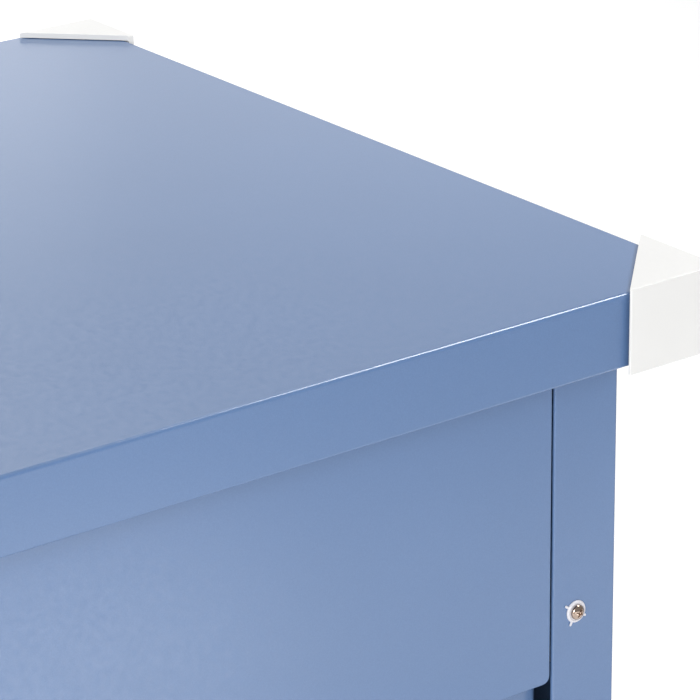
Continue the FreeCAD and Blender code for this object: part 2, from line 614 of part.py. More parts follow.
def lock_bar():
    z0, z1 = DRAWERS[-1][0] + CATCH_UP - 30, LOCK_Z + 22
    s = box(BAR_X0, BAR_X1, BAR_Y0, BAR_Y1, z0, z1)
    s = fillet(s, 3.0, lambda e: along(e, "y"))
    tabs = []
    for zb, zt in DRAWERS:
        zc = zb + CATCH_UP
        t = box(BAR_X1, -(X_OPEN - 10.0), BAR_Y0, BAR_Y1, zc + 8, zc + 22)
        t = fillet(t, 2.0, lambda e: along(e, "y") and near(mid(e).x, -(X_OPEN - 10.0)))
        tabs.append(t)
    c = LOCK_CRANK * math.sqrt(0.5)
    pz = LOCK_Z + c
    slot = fuse(box(LOCK_X - 11.5, LOCK_X - 3.0, BAR_Y0 - 1, BAR_Y1 + 1, pz - 2.9, pz + 2.9),
                cyl(2.9, (LOCK_X - 11.5, BAR_Y0 - 1, pz), (0, 1, 0), 5), cyl(2.9, (LOCK_X - 3.0, BAR_Y0 - 1, pz), (0, 1, 0), 5))
    return [s.cut(slot)] + tabs


export("lock_bar", *lock_bar())


def bar_guide(z):
    """Clip on the inner face of the left side panel; the lock bar runs through it."""
    x0 = -(XB - T)
    g = 0.4
    s = box(x0, BAR_X1 + g + 1.5, BAR_Y0 - g - 1.5, BAR_Y1 + g + 1.5, z - 7, z + 7)
    s = s.cut(box(BAR_X0 - g, BAR_X1 + g, BAR_Y0 - g, BAR_Y1 + g, z - 8, z + 8))
    return s


export("lock_bar_guides", bar_guide(700.0), bar_guide(400.0))


# ---------------------------------------------------------------- casters
def caster_plate(cx, cy):
    z = CASTER_H
    s = box(cx - 47, cx + 47, cy - 35, cy + 35, z - 3.5, z)
    s = fillet(s, 8.0, lambda e: along(e, "z"))
    for dx in (-36, 36):
        for dy in (-26, 26):
            s = s.cut(cyl(4.2, (cx + dx, cy + dy, z - 4), (0, 0, 1), 5))
    race = cyl(26.0, (cx, cy, z - 8.0), (0, 0, 1), 4.6)
    race = fillet(race, 1.5, lambda e: near(mid(e).z, z - 8.0))
    pin = cyl(6.0, (cx, cy, z - 15.0), (0, 0, 1), 12)
    head = cyl(10.0, (cx, cy, z - 16.0), (0, 0, 1), 3.6)
    head = fillet(head, 1.2, lambda e: near(mid(e).z, z - 16.0))
    return fuse(s, race, pin, head)


CASTERS = {"front_left": (-CASTER_X, -CASTER_Y), "front_right": (CASTER_X, -CASTER_Y),
           "rear_left": (-CASTER_X, CASTER_Y), "rear_right": (CASTER_X, CASTER_Y)}
TRAIL = {"front_left": 180.0, "front_right": 180.0, "rear_left": 180.0, "rear_right": 180.0}


def caster_fork(brake):
    """Fork about its own pivot axis at x = y = 0, trailing towards +X."""
    z = CASTER_H
    u = CASTER_TRAIL
    zc = WHEEL_D / 2
    crown = cyl(29.0, (0, 0, z - 22.0), (0, 0, 1), 13.4)
    crown = fillet(crown, 3.0, lambda e: near(mid(e).z, z - 8.6))
    crown = crown.cut(cyl(25.0, (0, 0, z - 22.5), (0, 0, 1), 10.5))
    crown = crown.cut(cyl(6.08, (0, 0, z - 30), (0, 0, 1), 40))
    legs = []
    for s in (-1, 1):
        y0, y1 = s * 19.5, s * 23.0
        pts = [(-27, z - 20), (-27, z - 12.5), (27, z - 12.5)]
        pts += [(60, z - 17.5), (69, z - 25), (67, z - 35), (u + 20, zc + 36)] if brake else [(34, z - 22), (u + 15, zc + 30)]
        pts += [(u + 13, zc - 2), (u + 7, zc - 12), (u - 7, zc - 12), (u - 14, zc - 2)]
        leg = poly_prism(pts, y0, y1, "xz")
        leg = fillet(leg, 4.0, lambda e: along(e, "y") and mid(e).z < zc - 8)
        leg = leg.cut(cyl(AXLE_R + 0.05, (u, -30, zc), (0, 1, 0), 60))
        if brake:
            leg = leg.cut(cyl(2.55, (PEDAL_PIVOT[0], -30, PEDAL_PIVOT[1]), (0, 1, 0), 60))
        legs.append(leg)
    body = fuse(crown, *legs)
    return body


def caster_axle():
    """Bolt and nut, along Y."""
    u, zc = CASTER_TRAIL, WHEEL_D / 2
    shaft = cyl(AXLE_R, (u, -26, zc), (0, 1, 0), 53)

    def hexagon(y0, y1):
        return poly_prism([(u + 9.2 * math.cos(math.radians(a)), zc + 9.2 * math.sin(math.radians(a)))
                           for a in range(30, 390, 60)], y0, y1, "xz")

    head = hexagon(-29.0, -23.2)
    nut = hexagon(23.2, 29.5)
    nut = nut.cut(cyl(AXLE_R + 0.03, (u, 20, zc), (0, 1, 0), 12))
    bolt = fuse(head, shaft)
    return [bolt, nut]


def wheel_core():
    """Moulded core: rim, dished web and hub, about the axle."""
    u, zc = CASTER_TRAIL, WHEEL_D / 2
    R = WHEEL_D / 2 - 12.5
    w = WHEEL_W / 2
    prof = [(AXLE_R + 0.08, -18.9), (13.5, -18.9), (14.5, -6.0), (R - 9.0, -6.0), (R - 6.5, -w + 1.5), (R - 1.5, -w + 1.5),
            (R, -w + 4), (R, w - 4), (R - 1.5, w - 1.5), (R - 6.5, w - 1.5), (R - 9.0, 6.0), (14.5, 6.0), (13.5, 18.9), (AXLE_R + 0.08, 18.9)]
    ps = [V(r, a, 0) for r, a in prof]
    f = Part.Face(Part.makePolygon(ps + [ps[0]]))
    s = f.revolve(V(0, 0, 0), V(0, 1, 0), 360)
    s = s.Solids[0]
    s.translate(V(u, 0, zc))
    return s


def tyre():
    u, zc = CASTER_TRAIL, WHEEL_D / 2
    R0, R1, w = WHEEL_D / 2 - 12.5, WHEEL_D / 2, WHEEL_W / 2
    outline = [(R0, -w + 4), (R0 - 1.0, -w + 0.3)]
    pts = [V(R0, -w + 4, 0), V(R0 + 1.2, -w + 0.6, 0), V(R0 + 7.5, -w, 0)]
    wires = [Part.LineSegment(pts[0], pts[1]).toShape(), Part.LineSegment(pts[1], pts[2]).toShape(),
             Part.Arc(V(R0 + 7.5, -w, 0), V(R1 - 1.6, -w + 4.0, 0), V(R1, -w + 9.5, 0)).toShape(),
             Part.LineSegment(V(R1, -w + 9.5, 0), V(R1, w - 9.5, 0)).toShape(),
             Part.Arc(V(R1, w - 9.5, 0), V(R1 - 1.6, w - 4.0, 0), V(R0 + 7.5, w, 0)).toShape(),
             Part.LineSegment(V(R0 + 7.5, w, 0), V(R0 + 1.2, w - 0.6, 0)).toShape(),
             Part.LineSegment(V(R0 + 1.2, w - 0.6, 0), V(R0, w - 4, 0)).toShape(),
             Part.LineSegment(V(R0, w - 4, 0), V(R0, -w + 4, 0)).toShape()]
    f = Part.Face(Part.Wire(wires))
    s = f.revolve(V(0, 0, 0), V(0, 1, 0), 360).Solids[0]
    s.translate(V(u, 0, zc))
    return s




def brake_pedal():
    """Tread plate, arms and shoe, about a pin along Y."""
    pu, pz = PEDAL_PIVOT
    arm = poly_prism([(pu - 5.5, pz + 3), (pu - 2, pz + 6), (pu + 8, pz + 6.5), (pu + 36, pz + 2.8), (pu + 36, pz - 3.2),
                      (pu + 20, pz - 3.5), (pu + 16, pz - 12.5), (pu + 3, pz - 5.6), (pu - 4, pz - 4.5)], -18.5, 18.5, "xz")
    tread = poly_prism([(pu + 34, pz + 2.8), (pu + 61, pz - 5.6), (pu + 66, pz - 10), (pu + 63, pz - 12), (pu + 34, pz - 3.2)],
                       -25, 25, "xz")
    s = fuse(arm, tread)
    for q in range(4):
        a = pu + 39.0 + 6.0 * q
        zt = pz + 2.8 - (a - pu - 34.0) * 8.4 / 27.0
        s = s.fuse(box(a, a + 2.4, -22, 22, zt - 2.0, zt + 0.7))
    s = s.removeSplitter()
    s = s.cut(cyl(2.5, (pu, -40, pz), (0, 1, 0), 80))
    return s


def brake_pin():
    pu, pz = PEDAL_PIVOT
    return cyl(2.5, (pu, -24.5, pz), (0, 1, 0), 49)


def to_caster(s, name):
    c = s.copy()
    c.rotate(V(0, 0, 0), V(0, 0, 1), TRAIL[name])
    c.translate(V(CASTERS[name][0], CASTERS[name][1], 0))
    return c


export("caster_top_plates", *[caster_plate(*p) for p in CASTERS.values()])
bolts = []
for cx, cy in CASTERS.values():
    for dx in (-36, 36):
        for dy in (-26, 26):
            x, y = cx + dx, cy + dy
            hexa = poly_prism([(x + 7.5 * math.cos(math.radians(a)), y + 7.5 * math.sin(math.radians(a)))
                               for a in range(0, 360, 60)], CASTER_H - 3.5 - 5.3, CASTER_H - 3.5, "xy")
            bolts.append(fuse(hexa, cyl(4.0, (x, y, CASTER_H - 4), (0, 0, 1), 16)))
export("caster_bolts", *bolts)
for n in CASTERS:
    brake = n.endswith("left")
    export("caster_fork_" + n, to_caster(caster_fork(brake), n))
    export("caster_axle_" + n, *[to_caster(q, n) for q in caster_axle()])
    export("caster_wheel_" + n, to_caster(wheel_core(), n))
    export("caster_tyre_" + n, to_caster(tyre(), n))
    if brake:
        export("brake_pedal_" + n, to_caster(brake_pedal(), n), to_caster(brake_pin(), n))

print("nodes", len(written), "DX", DX, "volume cm3", round(sum(written.values()) / 1000, 1))
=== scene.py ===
"""Looks of the medication cart: materials, fine geometry, floor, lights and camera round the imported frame."""
import json
import math

import bmesh
import bpy
from mathutils import Matrix, Vector


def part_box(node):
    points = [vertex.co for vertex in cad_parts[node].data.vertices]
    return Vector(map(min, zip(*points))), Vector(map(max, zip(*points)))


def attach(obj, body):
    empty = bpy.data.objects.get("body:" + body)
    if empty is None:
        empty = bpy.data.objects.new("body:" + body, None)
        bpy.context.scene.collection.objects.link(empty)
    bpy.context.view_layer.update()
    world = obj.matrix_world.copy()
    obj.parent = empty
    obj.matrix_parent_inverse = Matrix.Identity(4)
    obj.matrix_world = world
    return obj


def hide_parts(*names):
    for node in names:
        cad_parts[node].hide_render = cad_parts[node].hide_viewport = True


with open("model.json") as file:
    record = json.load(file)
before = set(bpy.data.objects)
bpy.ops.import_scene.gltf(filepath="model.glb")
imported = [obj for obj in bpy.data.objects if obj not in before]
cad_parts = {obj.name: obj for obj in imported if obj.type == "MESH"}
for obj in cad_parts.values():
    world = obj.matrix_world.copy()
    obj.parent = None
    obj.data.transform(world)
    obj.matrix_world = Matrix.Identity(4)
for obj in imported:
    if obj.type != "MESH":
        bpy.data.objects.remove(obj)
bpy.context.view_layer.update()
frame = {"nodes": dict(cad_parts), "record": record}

NODES = frame["nodes"]
BODY_OF = {n: b for b, ns in frame["record"]["behaviour"]["bodies"].items() for n in ns}
SLOT_OF = {s["node"]: s["material_slot"] for s in frame["record"]["subparts"]}
MM = 0.001


# ------------------------------------------------------------------ node helpers
def srgb(r, g, b):
    def lin(c):
        c /= 255.0
        return c / 12.92 if c <= 0.04045 else ((c + 0.055) / 1.055) ** 2.4
    return (lin(r), lin(g), lin(b), 1.0)


class Mat:
    """A Principled material with its node tree at hand."""

    def __init__(self, name, color, rough, metallic=0.0, ior=1.5, spec=0.5, coat=0.0, coat_rough=0.03, sheen=0.0,
                 aniso=0.0, sss=0.0, trans=0.0):
        self.m = bpy.data.materials.new(name)
        self.m.use_nodes = True
        self.nt = self.m.node_tree
        self.p = self.nt.nodes["Principled BSDF"]
        i = self.p.inputs
        i["Base Color"].default_value = color
        i["Roughness"].default_value = rough
        i["Metallic"].default_value = metallic
        i["IOR"].default_value = ior
        i["Specular IOR Level"].default_value = spec
        i["Coat Weight"].default_value = coat
        i["Coat Roughness"].default_value = coat_rough
        i["Sheen Weight"].default_value = sheen
        i["Anisotropic"].default_value = aniso
        i["Subsurface Weight"].default_value = sss
        i["Transmission Weight"].default_value = trans
        self.m.diffuse_color = color
        self.tc = self.nt.nodes.new("ShaderNodeTexCoord")

    def new(self, kind, **values):
        n = self.nt.nodes.new(kind)
        for k, v in values.items():
            if hasattr(n, k) and k not in n.inputs:
                setattr(n, k, v)
            else:
                n.inputs[k.replace("_", " ")].default_value = v
        return n

    def link(self, a, b):
        self.nt.links.new(a, b)

    def coords(self, scale=(1, 1, 1), rot=(0, 0, 0)):
        m = self.nt.nodes.new("ShaderNodeMapping")
        m.inputs["Scale"].default_value = scale
        m.inputs["Rotation"].default_value = rot
        self.link(self.tc.outputs["Object"], m.inputs["Vector"])
        return m.outputs["Vector"]

    def noise(self, scale, detail=2.0, rough=0.5, vec=None, distortion=0.0):
        n = self.nt.nodes.new("ShaderNodeTexNoise")
        n.inputs["Scale"].default_value = scale
        n.inputs["Detail"].default_value = detail
        n.inputs["Roughness"].default_value = rough
        n.inputs["Distortion"].default_value = distortion
        self.link(vec if vec is not None else self.tc.outputs["Object"], n.inputs["Vector"])
        return n.outputs["Fac"]

    def voronoi(self, scale, vec=None, feature="F1", randomness=1.0):
        n = self.nt.nodes.new("ShaderNodeTexVoronoi")
        n.feature = feature
        n.inputs["Scale"].default_value = scale
        n.inputs["Randomness"].default_value = randomness
        self.link(vec if vec is not None else self.tc.outputs["Object"], n.inputs["Vector"])
        return n.outputs["Distance"]

    def ramp(self, fac, stops, interp="LINEAR"):
        r = self.nt.nodes.new("ShaderNodeValToRGB")
        r.color_ramp.interpolation = interp
        els = r.color_ramp.elements
        while len(els) < len(stops):
            els.new(0.5)
        for e, (pos, col) in zip(els, stops):
            e.position = pos
            e.color = col
        self.link(fac, r.inputs["Fac"])
        return r.outputs["Color"]

    def remap(self, fac, a, b, c, d):
        r = self.nt.nodes.new("ShaderNodeMapRange")
        for k, v in zip(("From Min", "From Max", "To Min", "To Max"), (a, b, c, d)):
            r.inputs[k].default_value = v
        self.link(fac, r.inputs["Value"])
        return r.outputs["Result"]

    def mix(self, fac, a, b, mode="MIX"):
        n = self.nt.nodes.new("ShaderNodeMix")
        n.data_type = "RGBA"
        n.blend_type = mode
        for sock, v in ((n.inputs[0], fac), (n.inputs[6], a), (n.inputs[7], b)):
            if hasattr(v, "is_linked") or hasattr(v, "links"):
                self.link(v, sock)
            else:
                sock.default_value = v
        return n.outputs[2]

    def bump(self, height, strength, distance, normal=None):
        b = self.nt.nodes.new("ShaderNodeBump")
        b.inputs["Strength"].default_value = strength
        b.inputs["Distance"].default_value = distance
        self.link(height, b.inputs["Height"])
        if normal is not None:
            self.link(normal, b.inputs["Normal"])
        return b.outputs["Normal"]

    def color(self, out):
        self.link(out, self.p.inputs["Base Color"])

    def rough(self, out):
        self.link(out, self.p.inputs["Roughness"])

    def normal(self, out):
        self.link(out, self.p.inputs["Normal"])


def shade(c, k):
    return (min(c[0] * k, 1), min(c[1] * k, 1), min(c[2] * k, 1), 1.0)


def powder_coat(name, base, rough=0.22, vary=0.035):
    """Baked powder coat: orange peel about a millimetre across, a fine speckle, slow drift in tone."""
    m = Mat(name, base, rough, ior=1.5, spec=0.6)
    slow = m.noise(7.0, 2.0, 0.5)
    fine = m.noise(1500.0, 2.0, 0.6)
    tone = m.ramp(slow, [(0.3, shade(base, 1 - vary)), (0.7, shade(base, 1 + vary))])
    speck = m.ramp(fine, [(0.30, shade(base, 0.90)), (0.5, base), (0.70, shade(base, 1.12))])
    m.color(m.mix(0.45, tone, speck))
    m.rough(m.remap(m.noise(260.0, 3.0), 0.3, 0.7, rough - 0.03, rough + 0.04))
    peel = m.noise(620.0, 2.0, 0.45)
    grit = m.noise(2600.0, 1.0, 0.5)
    n1 = m.bump(peel, 0.045, 0.0006)
    m.normal(m.bump(grit, 0.03, 0.0002, n1))
    return m.m


def moulded(name, base, rough=0.42, grain=1400.0, depth=0.06, sss=0.0, vary=0.02):
    """Injection-moulded plastic: fine even texture, slight tone drift."""
    m = Mat(name, base, rough, ior=1.46, spec=0.5, sss=sss)
    slow = m.noise(22.0, 2.0)
    m.color(m.ramp(slow, [(0.3, shade(base, 1 - vary)), (0.7, shade(base, 1 + vary))]))
    m.rough(m.remap(m.noise(300.0, 2.0), 0.3, 0.7, rough - 0.03, rough + 0.05))
    m.normal(m.bump(m.noise(grain, 2.0, 0.5), depth, 0.0003))
    return m.m


def zinc(name, base, rough=0.34, vary=0.05):
    """Zinc-plated steel: bright, cloudy, with rolling marks."""
    m = Mat(name, base, rough, metallic=1.0)
    cloud = m.noise(38.0, 3.0, 0.5)
    m.color(m.ramp(cloud, [(0.3, shade(base, 1 - vary)), (0.7, shade(base, 1 + vary))]))
    m.rough(m.remap(m.noise(90.0, 3.0), 0.3, 0.7, rough - 0.04, rough + 0.05))
    m.normal(m.bump(m.noise(900.0, 2.0), 0.015, 0.0002))
    return m.m


def brushed(name, base, scale, rough=0.28):
    """Stainless steel, brushed: scratches run where scale is small."""
    m = Mat(name, base, rough, metallic=1.0)
    lines = m.noise(1.0, 3.0, 0.6, vec=m.coords(scale))
    m.color(m.ramp(lines, [(0.3, shade(base, 0.93)), (0.7, shade(base, 1.06))]))
    m.rough(m.remap(lines, 0.3, 0.7, rough - 0.05, rough + 0.09))
    m.normal(m.bump(lines, 0.06, 0.0002))
    return m.m


def rubber(name, base, rough=0.72):
    m = Mat(name, base, rough, ior=1.5, spec=0.35)
    m.color(m.ramp(m.noise(60.0, 4.0, 0.65), [(0.3, shade(base, 0.90)), (0.72, shade(base, 1.14))]))
    m.rough(m.remap(m.noise(220.0, 2.0), 0.3, 0.7, rough - 0.06, rough + 0.08))
    m.normal(m.bump(m.noise(1300.0, 3.0, 0.6), 0.12, 0.0004))
    return m.m


def plated(name, base, rough=0.14, vary=0.05):
    m = Mat(name, base, rough, metallic=1.0)
    m.color(m.ramp(m.noise(420.0, 3.0), [(0.3, shade(base, 1 - vary)), (0.7, shade(base, 1 + vary))]))
    m.rough(m.remap(m.noise(700.0, 2.0), 0.3, 0.7, rough - 0.04, rough + 0.08))
    m.normal(m.bump(m.noise(1800.0, 2.0), 0.03, 0.0002))
    return m.m


BLUE = (0.083, 0.148, 0.288, 1.0)
MATS = {
    "powder_coat_blue": powder_coat("powder_coat_blue", BLUE),
    "bumper_plastic_white": moulded("bumper_plastic_white", (0.592, 0.590, 0.582, 1.0), 0.40, 1100.0, 0.05, 0.0),
    "screw_zinc": zinc("screw_zinc", srgb(196, 197, 195), 0.30),
    "screw_nickel": plated("screw_nickel", (0.43, 0.335, 0.275, 1.0), 0.09),
    "ring_plastic": moulded("ring_plastic", (0.555, 0.55, 0.585, 1.0), 0.34, 1500.0, 0.05, 0.0),
    "slide_zinc": zinc("slide_zinc", srgb(186, 189, 192), 0.30),
    "divider_plastic": moulded("divider_plastic", srgb(222, 226, 228), 0.35, 900.0, 0.04),
    "handle_stainless": brushed("handle_stainless", srgb(196, 197, 199), (900, 9, 900), 0.27),
    "bracket_plastic": moulded("bracket_plastic", srgb(228, 228, 226), 0.42),
    "lock_chrome": plated("lock_chrome", srgb(214, 215, 216), 0.10),
    "caster_zinc": zinc("caster_zinc", srgb(184, 187, 190), 0.30),
    "wheel_plastic": moulded("wheel_plastic", srgb(178, 181, 185), 0.45),
    "tyre_rubber": rubber("tyre_rubber", srgb(84, 86, 89)),
    "pedal_plastic": moulded("pedal_plastic", srgb(48, 50, 54), 0.5, 700.0, 0.12),
}
for n, o in NODES.items():
    o.data.materials.clear()
    o.data.materials.append(MATS[SLOT_OF[n]])


# ------------------------------------------------------------------ mesh helpers
def piece(name, verts, faces, node, slot=None, sharp=38.0, stands_for=True):
    """A mesh in metres from millimetre points, riding with and standing for a CAD node."""
    me = bpy.data.meshes.new(name)
    me.from_pydata([(x * MM, y * MM, z * MM) for x, y, z in verts], [], faces)
    me.update()
    bm = bmesh.new()
    bm.from_mesh(me)
    bmesh.ops.recalc_face_normals(bm, faces=bm.faces)
    bm.to_mesh(me)
    bm.free()
    for p in me.polygons:
        p.use_smooth = True
    me.set_sharp_from_angle(angle=math.radians(sharp))
    o = bpy.data.objects.new(name, me)
    bpy.context.scene.collection.objects.link(o)
    slot = slot or SLOT_OF[node]
    me.materials.append(MATS[slot])
    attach(o, BODY_OF.get(node, "root"))
    if stands_for:
        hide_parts(node)
    return o


def turned(profile, seg=96):
    """Closed profile of (radius, height) points turned about +Z."""
    n = len(profile)
    verts = [(r * math.cos(2 * math.pi * s / seg), r * math.sin(2 * math.pi * s / seg), z)
             for s in range(seg) for r, z in profile]
    faces = [(s * n + i, ((s + 1) % seg) * n + i, ((s + 1) % seg) * n + (i + 1) % n, s * n + (i + 1) % n)
             for s in range(seg) for i in range(n)]
    return verts, faces


def rounded(points, radius, steps=4):
    """Closed polygon with its corners turned into short arcs; radius may be a list."""
    out = []
    n = len(points)
    for i, p in enumerate(points):
        r = radius[i] if isinstance(radius, (list, tuple)) else radius
        a, b = Vector(points[i - 1]), Vector(points[(i + 1) % n])
        p = Vector(p)
        u, v = (a - p), (b - p)
        la, lb = u.length, v.length
        u.normalize()
        v.normalize()
        half = math.acos(max(-1.0, min(1.0, u.dot(v)))) / 2
        if r <= 0 or half > math.radians(88):
            out.append(tuple(p))
            continue
        t = min(r / math.tan(half), 0.45 * la, 0.45 * lb)
        r = t * math.tan(half)
        c = p + (u + v).normalized() * (r / math.sin(half))
        s0, s1 = (p + u * t) - c, (p + v * t) - c
        for k in range(steps + 1):
            q = s0.lerp(s1, k / steps)
            q = q.normalized() * r if q.length > 1e-9 else q
            out.append(tuple(c + q))
    return out


def slab(outline, z0, z1, edge=0.25):
    """Prism of a 2D outline with a small chamfer round both faces."""
    n = len(outline)
    cx = sum(p[0] for p in outline) / n
    cy = sum(p[1] for p in outline) / n

    def inset(d):
        pts = []
        for i in range(n):
            a, p, b = Vector(outline[i - 1]), Vector(outline[i]), Vector(outline[(i + 1) % n])
            e1, e2 = (p - a), (b - p)
            n1, n2 = Vector((-e1.y, e1.x)), Vector((-e2.y, e2.x))
            m = (n1.normalized() if n1.length else n1) + (n2.normalized() if n2.length else n2)
            if m.length < 1e-9:
                pts.append(tuple(p))
                continue
            m.normalize()
            if m.dot(Vector((cx, cy)) - p) < 0:
                m = -m
            pts.append(tuple(p + m * d))
        return pts

    loops = [(inset(edge), z0), (outline, z0 + edge), (outline, z1 - edge), (inset(edge), z1)]
    verts = [(x, y, z) for pts, z in loops for x, y in pts]
    faces = [tuple(reversed(range(n))), tuple(range(3 * n, 4 * n))]
    for k in range(3):
        faces += [(k * n + i, k * n + (i + 1) % n, (k + 1) * n + (i + 1) % n, (k + 1) * n + i) for i in range(n)]
    return verts, faces


def moved(vf, m):
    v, f = vf
    return [tuple(m @ Vector(p)) for p in v], f


def joined(*parts):
    verts, faces = [], []
    for v, f in parts:
        k = len(verts)
        verts += v
        faces += [tuple(i + k for i in q) for q in f]
    return verts, faces


def look(at, direction, spin=0.0):
    """Frame with its +Z along direction, at a point in millimetres."""
    z = Vector(direction).normalized()
    q = Vector((0, 0, 1)).rotation_difference(z).to_matrix().to_4x4()
    if z.z < -0.999:
        q = Matrix.Rotation(math.pi, 4, "X")
    return Matrix.Translation(Vector(at)) @ q @ Matrix.Rotation(math.radians(spin), 4, "Z")


def islands(node):
    """Boxes in millimetres of the separate solids of a CAD node."""
    me = NODES[node].data
    parent = list(range(len(me.vertices)))

    def find(i):
        while parent[i] != i:
            parent[i] = parent[parent[i]]
            i = parent[i]
        return i
    key = {}
    for v in me.vertices:
        c = tuple(round(q * 1e6) for q in v.co)
        if c in key:
            parent[find(v.index)] = find(key[c])
        else:
            key[c] = v.index
    for e in me.edges:
        parent[find(e.vertices[0])] = find(e.vertices[1])
    groups = {}
    for v in me.vertices:
        groups.setdefault(find(v.index), []).append(v.co)
    out = []
    for g in groups.values():
        lo = Vector([min(p[i] for p in g) for i in range(3)]) * 1000
        hi = Vector([max(p[i] for p in g) for i in range(3)]) * 1000
        out.append((lo, hi))
    return sorted(out, key=lambda b: tuple(round(q, 2) for q in b[0]))


# ------------------------------------------------------------------ screws and rings
def pan_head(R, H, arm, half, depth, shank, length, rings=34, seg=112, flat=0.0):
    """Pan head over z = 0 with a tapered four-point recess, and its shank below."""
    ball = (R * R + H * H) / (2 * H) * 1.25
    lip = 0.45

    def dome(r):
        z = H - ball + math.sqrt(max(ball * ball - r * r, 0.0))
        if r > R - lip:
            t = (r - (R - lip)) / lip
            z -= (1 - math.sqrt(max(1 - t * t, 0.0))) * lip * 1.1
        return z

    def cut(x, y):
        a, b = min(abs(x), abs(y)), max(abs(x), abs(y))
        w = half * (1.0 - 0.30 * b / arm)
        s = max(0.0, min(1.0, (w - a) / 0.20))
        e = max(0.0, min(1.0, (arm - b) / 0.62))
        core = max(0.0, min(1.0, (half * 1.75 - math.hypot(x, y)) / 0.30))
        return depth * max(s * e, core * 0.98)

    verts = [(0, 0, dome(0) - cut(0, 0))]
    faces = []
    radii = [R * (i / rings) ** 0.92 for i in range(1, rings + 1)]
    for r in radii:
        for k in range(seg):
            a = 2 * math.pi * k / seg
            x, y = r * math.cos(a), r * math.sin(a)
            verts.append((x, y, dome(r) - cut(x, y)))
    for r, z in ((R, 0.18), (R - 0.18, 0.0), (shank, 0.0), (shank, -length)):
        for k in range(seg):
            a = 2 * math.pi * k / seg
            verts.append((r * math.cos(a), r * math.sin(a), z))
    n = rings + 4
    for k in range(seg):
        faces.append((0, 1 + k, 1 + (k + 1) % seg))
    for i in range(n - 1):
        for k in range(seg):
            j = (k + 1) % seg
            faces.append((1 + i * seg + k, 1 + (i + 1) * seg + k, 1 + (i + 1) * seg + j, 1 + i * seg + j))
    faces.append(tuple(1 + (n - 1) * seg + k for k in range(seg)))
    return verts, faces


def screws(name, node, R, H, axis_of, spin, **kw):
    head = pan_head(R, H, **kw)
    parts = []
    for lo, hi in islands(node):
        d, at = axis_of(lo, hi)
        parts.append(moved(head, look(at, d, spin)))
    return piece(name, *joined(*parts), node, sharp=50.0)


def front_seat(lo, hi):
    return (0, -1, 0), ((lo.x + hi.x) / 2, lo.y + 2.3, (lo.z + hi.z) / 2)


def handle_seat(lo, hi):
    return (-1, 0, 0), (lo.x + 3.2, (lo.y + hi.y) / 2, (lo.z + hi.z) / 2)


def panel_seat(lo, hi):
    if hi.z - lo.z > 9.0:
        return (0, 0, -1), ((lo.x + hi.x) / 2, (lo.y + hi.y) / 2, lo.z + 2.0)
    return (0, 1, 0), ((lo.x + hi.x) / 2, hi.y - 2.0, (lo.z + hi.z) / 2)


screws("post_screw_heads", "post_screws", 4.05, 2.7, front_seat, -24.0, arm=2.35, half=0.62, depth=1.5,
       shank=2.0, length=7.2)
screws("handle_screw_heads", "handle_screws", 5.0, 3.2, handle_seat, 15.0, arm=2.8, half=0.70, depth=1.8,
       shank=3.0, length=5.0, rings=26, seg=72)
screws("panel_screw_heads", "panel_screws", 3.6, 2.0, panel_seat, 30.0, arm=2.0, half=0.52, depth=1.1,
       shank=2.0, length=4.0, rings=24, seg=64)


def lug_ring():
    prof = rounded([(2.7, 0.02), (6.0, 0.02), (6.0, 0.55), (5.55, 1.16), (5.0, 1.32), (4.55, 0.95), (2.7, 0.90)],
                   [0.0, 0.12, 0.30, 0.35, 0.35, 0.30, 0.0], 4)
    parts = [turned(prof, 112)]
    for a, l in ((146.5, 8.6), (241.3, 8.2), (328.0, 7.6)):
        line = [(5.15, -0.65), (l - 0.65, -0.65)]
        line += [(l - 0.65 + 0.65 * math.sin(t), -0.65 * math.cos(t)) for t in [math.pi * k / 8 for k in range(1, 8)]]
        line += [(l - 0.65, 0.65), (5.15, 0.65)]
        parts.append(moved(slab(line, 0.02, 0.80, 0.22), Matrix.Rotation(math.radians(a), 4, "Z")))
    return joined(*parts)


ring = lug_ring()
ring_parts = []
SCREW_BOXES = islands("post_screws")
for lo, hi in SCREW_BOXES:
    at = Vector(((lo.x + hi.x) / 2, hi.y, (lo.z + hi.z) / 2))
    at.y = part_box("post_screw_rings")[1][1] * 1000
    ring_parts.append(moved(ring, Matrix.Translation(at) @ Matrix.Rotation(math.pi / 2, 4, "X")))
piece("post_rings", *joined(*ring_parts), "post_screw_rings", sharp=45.0)


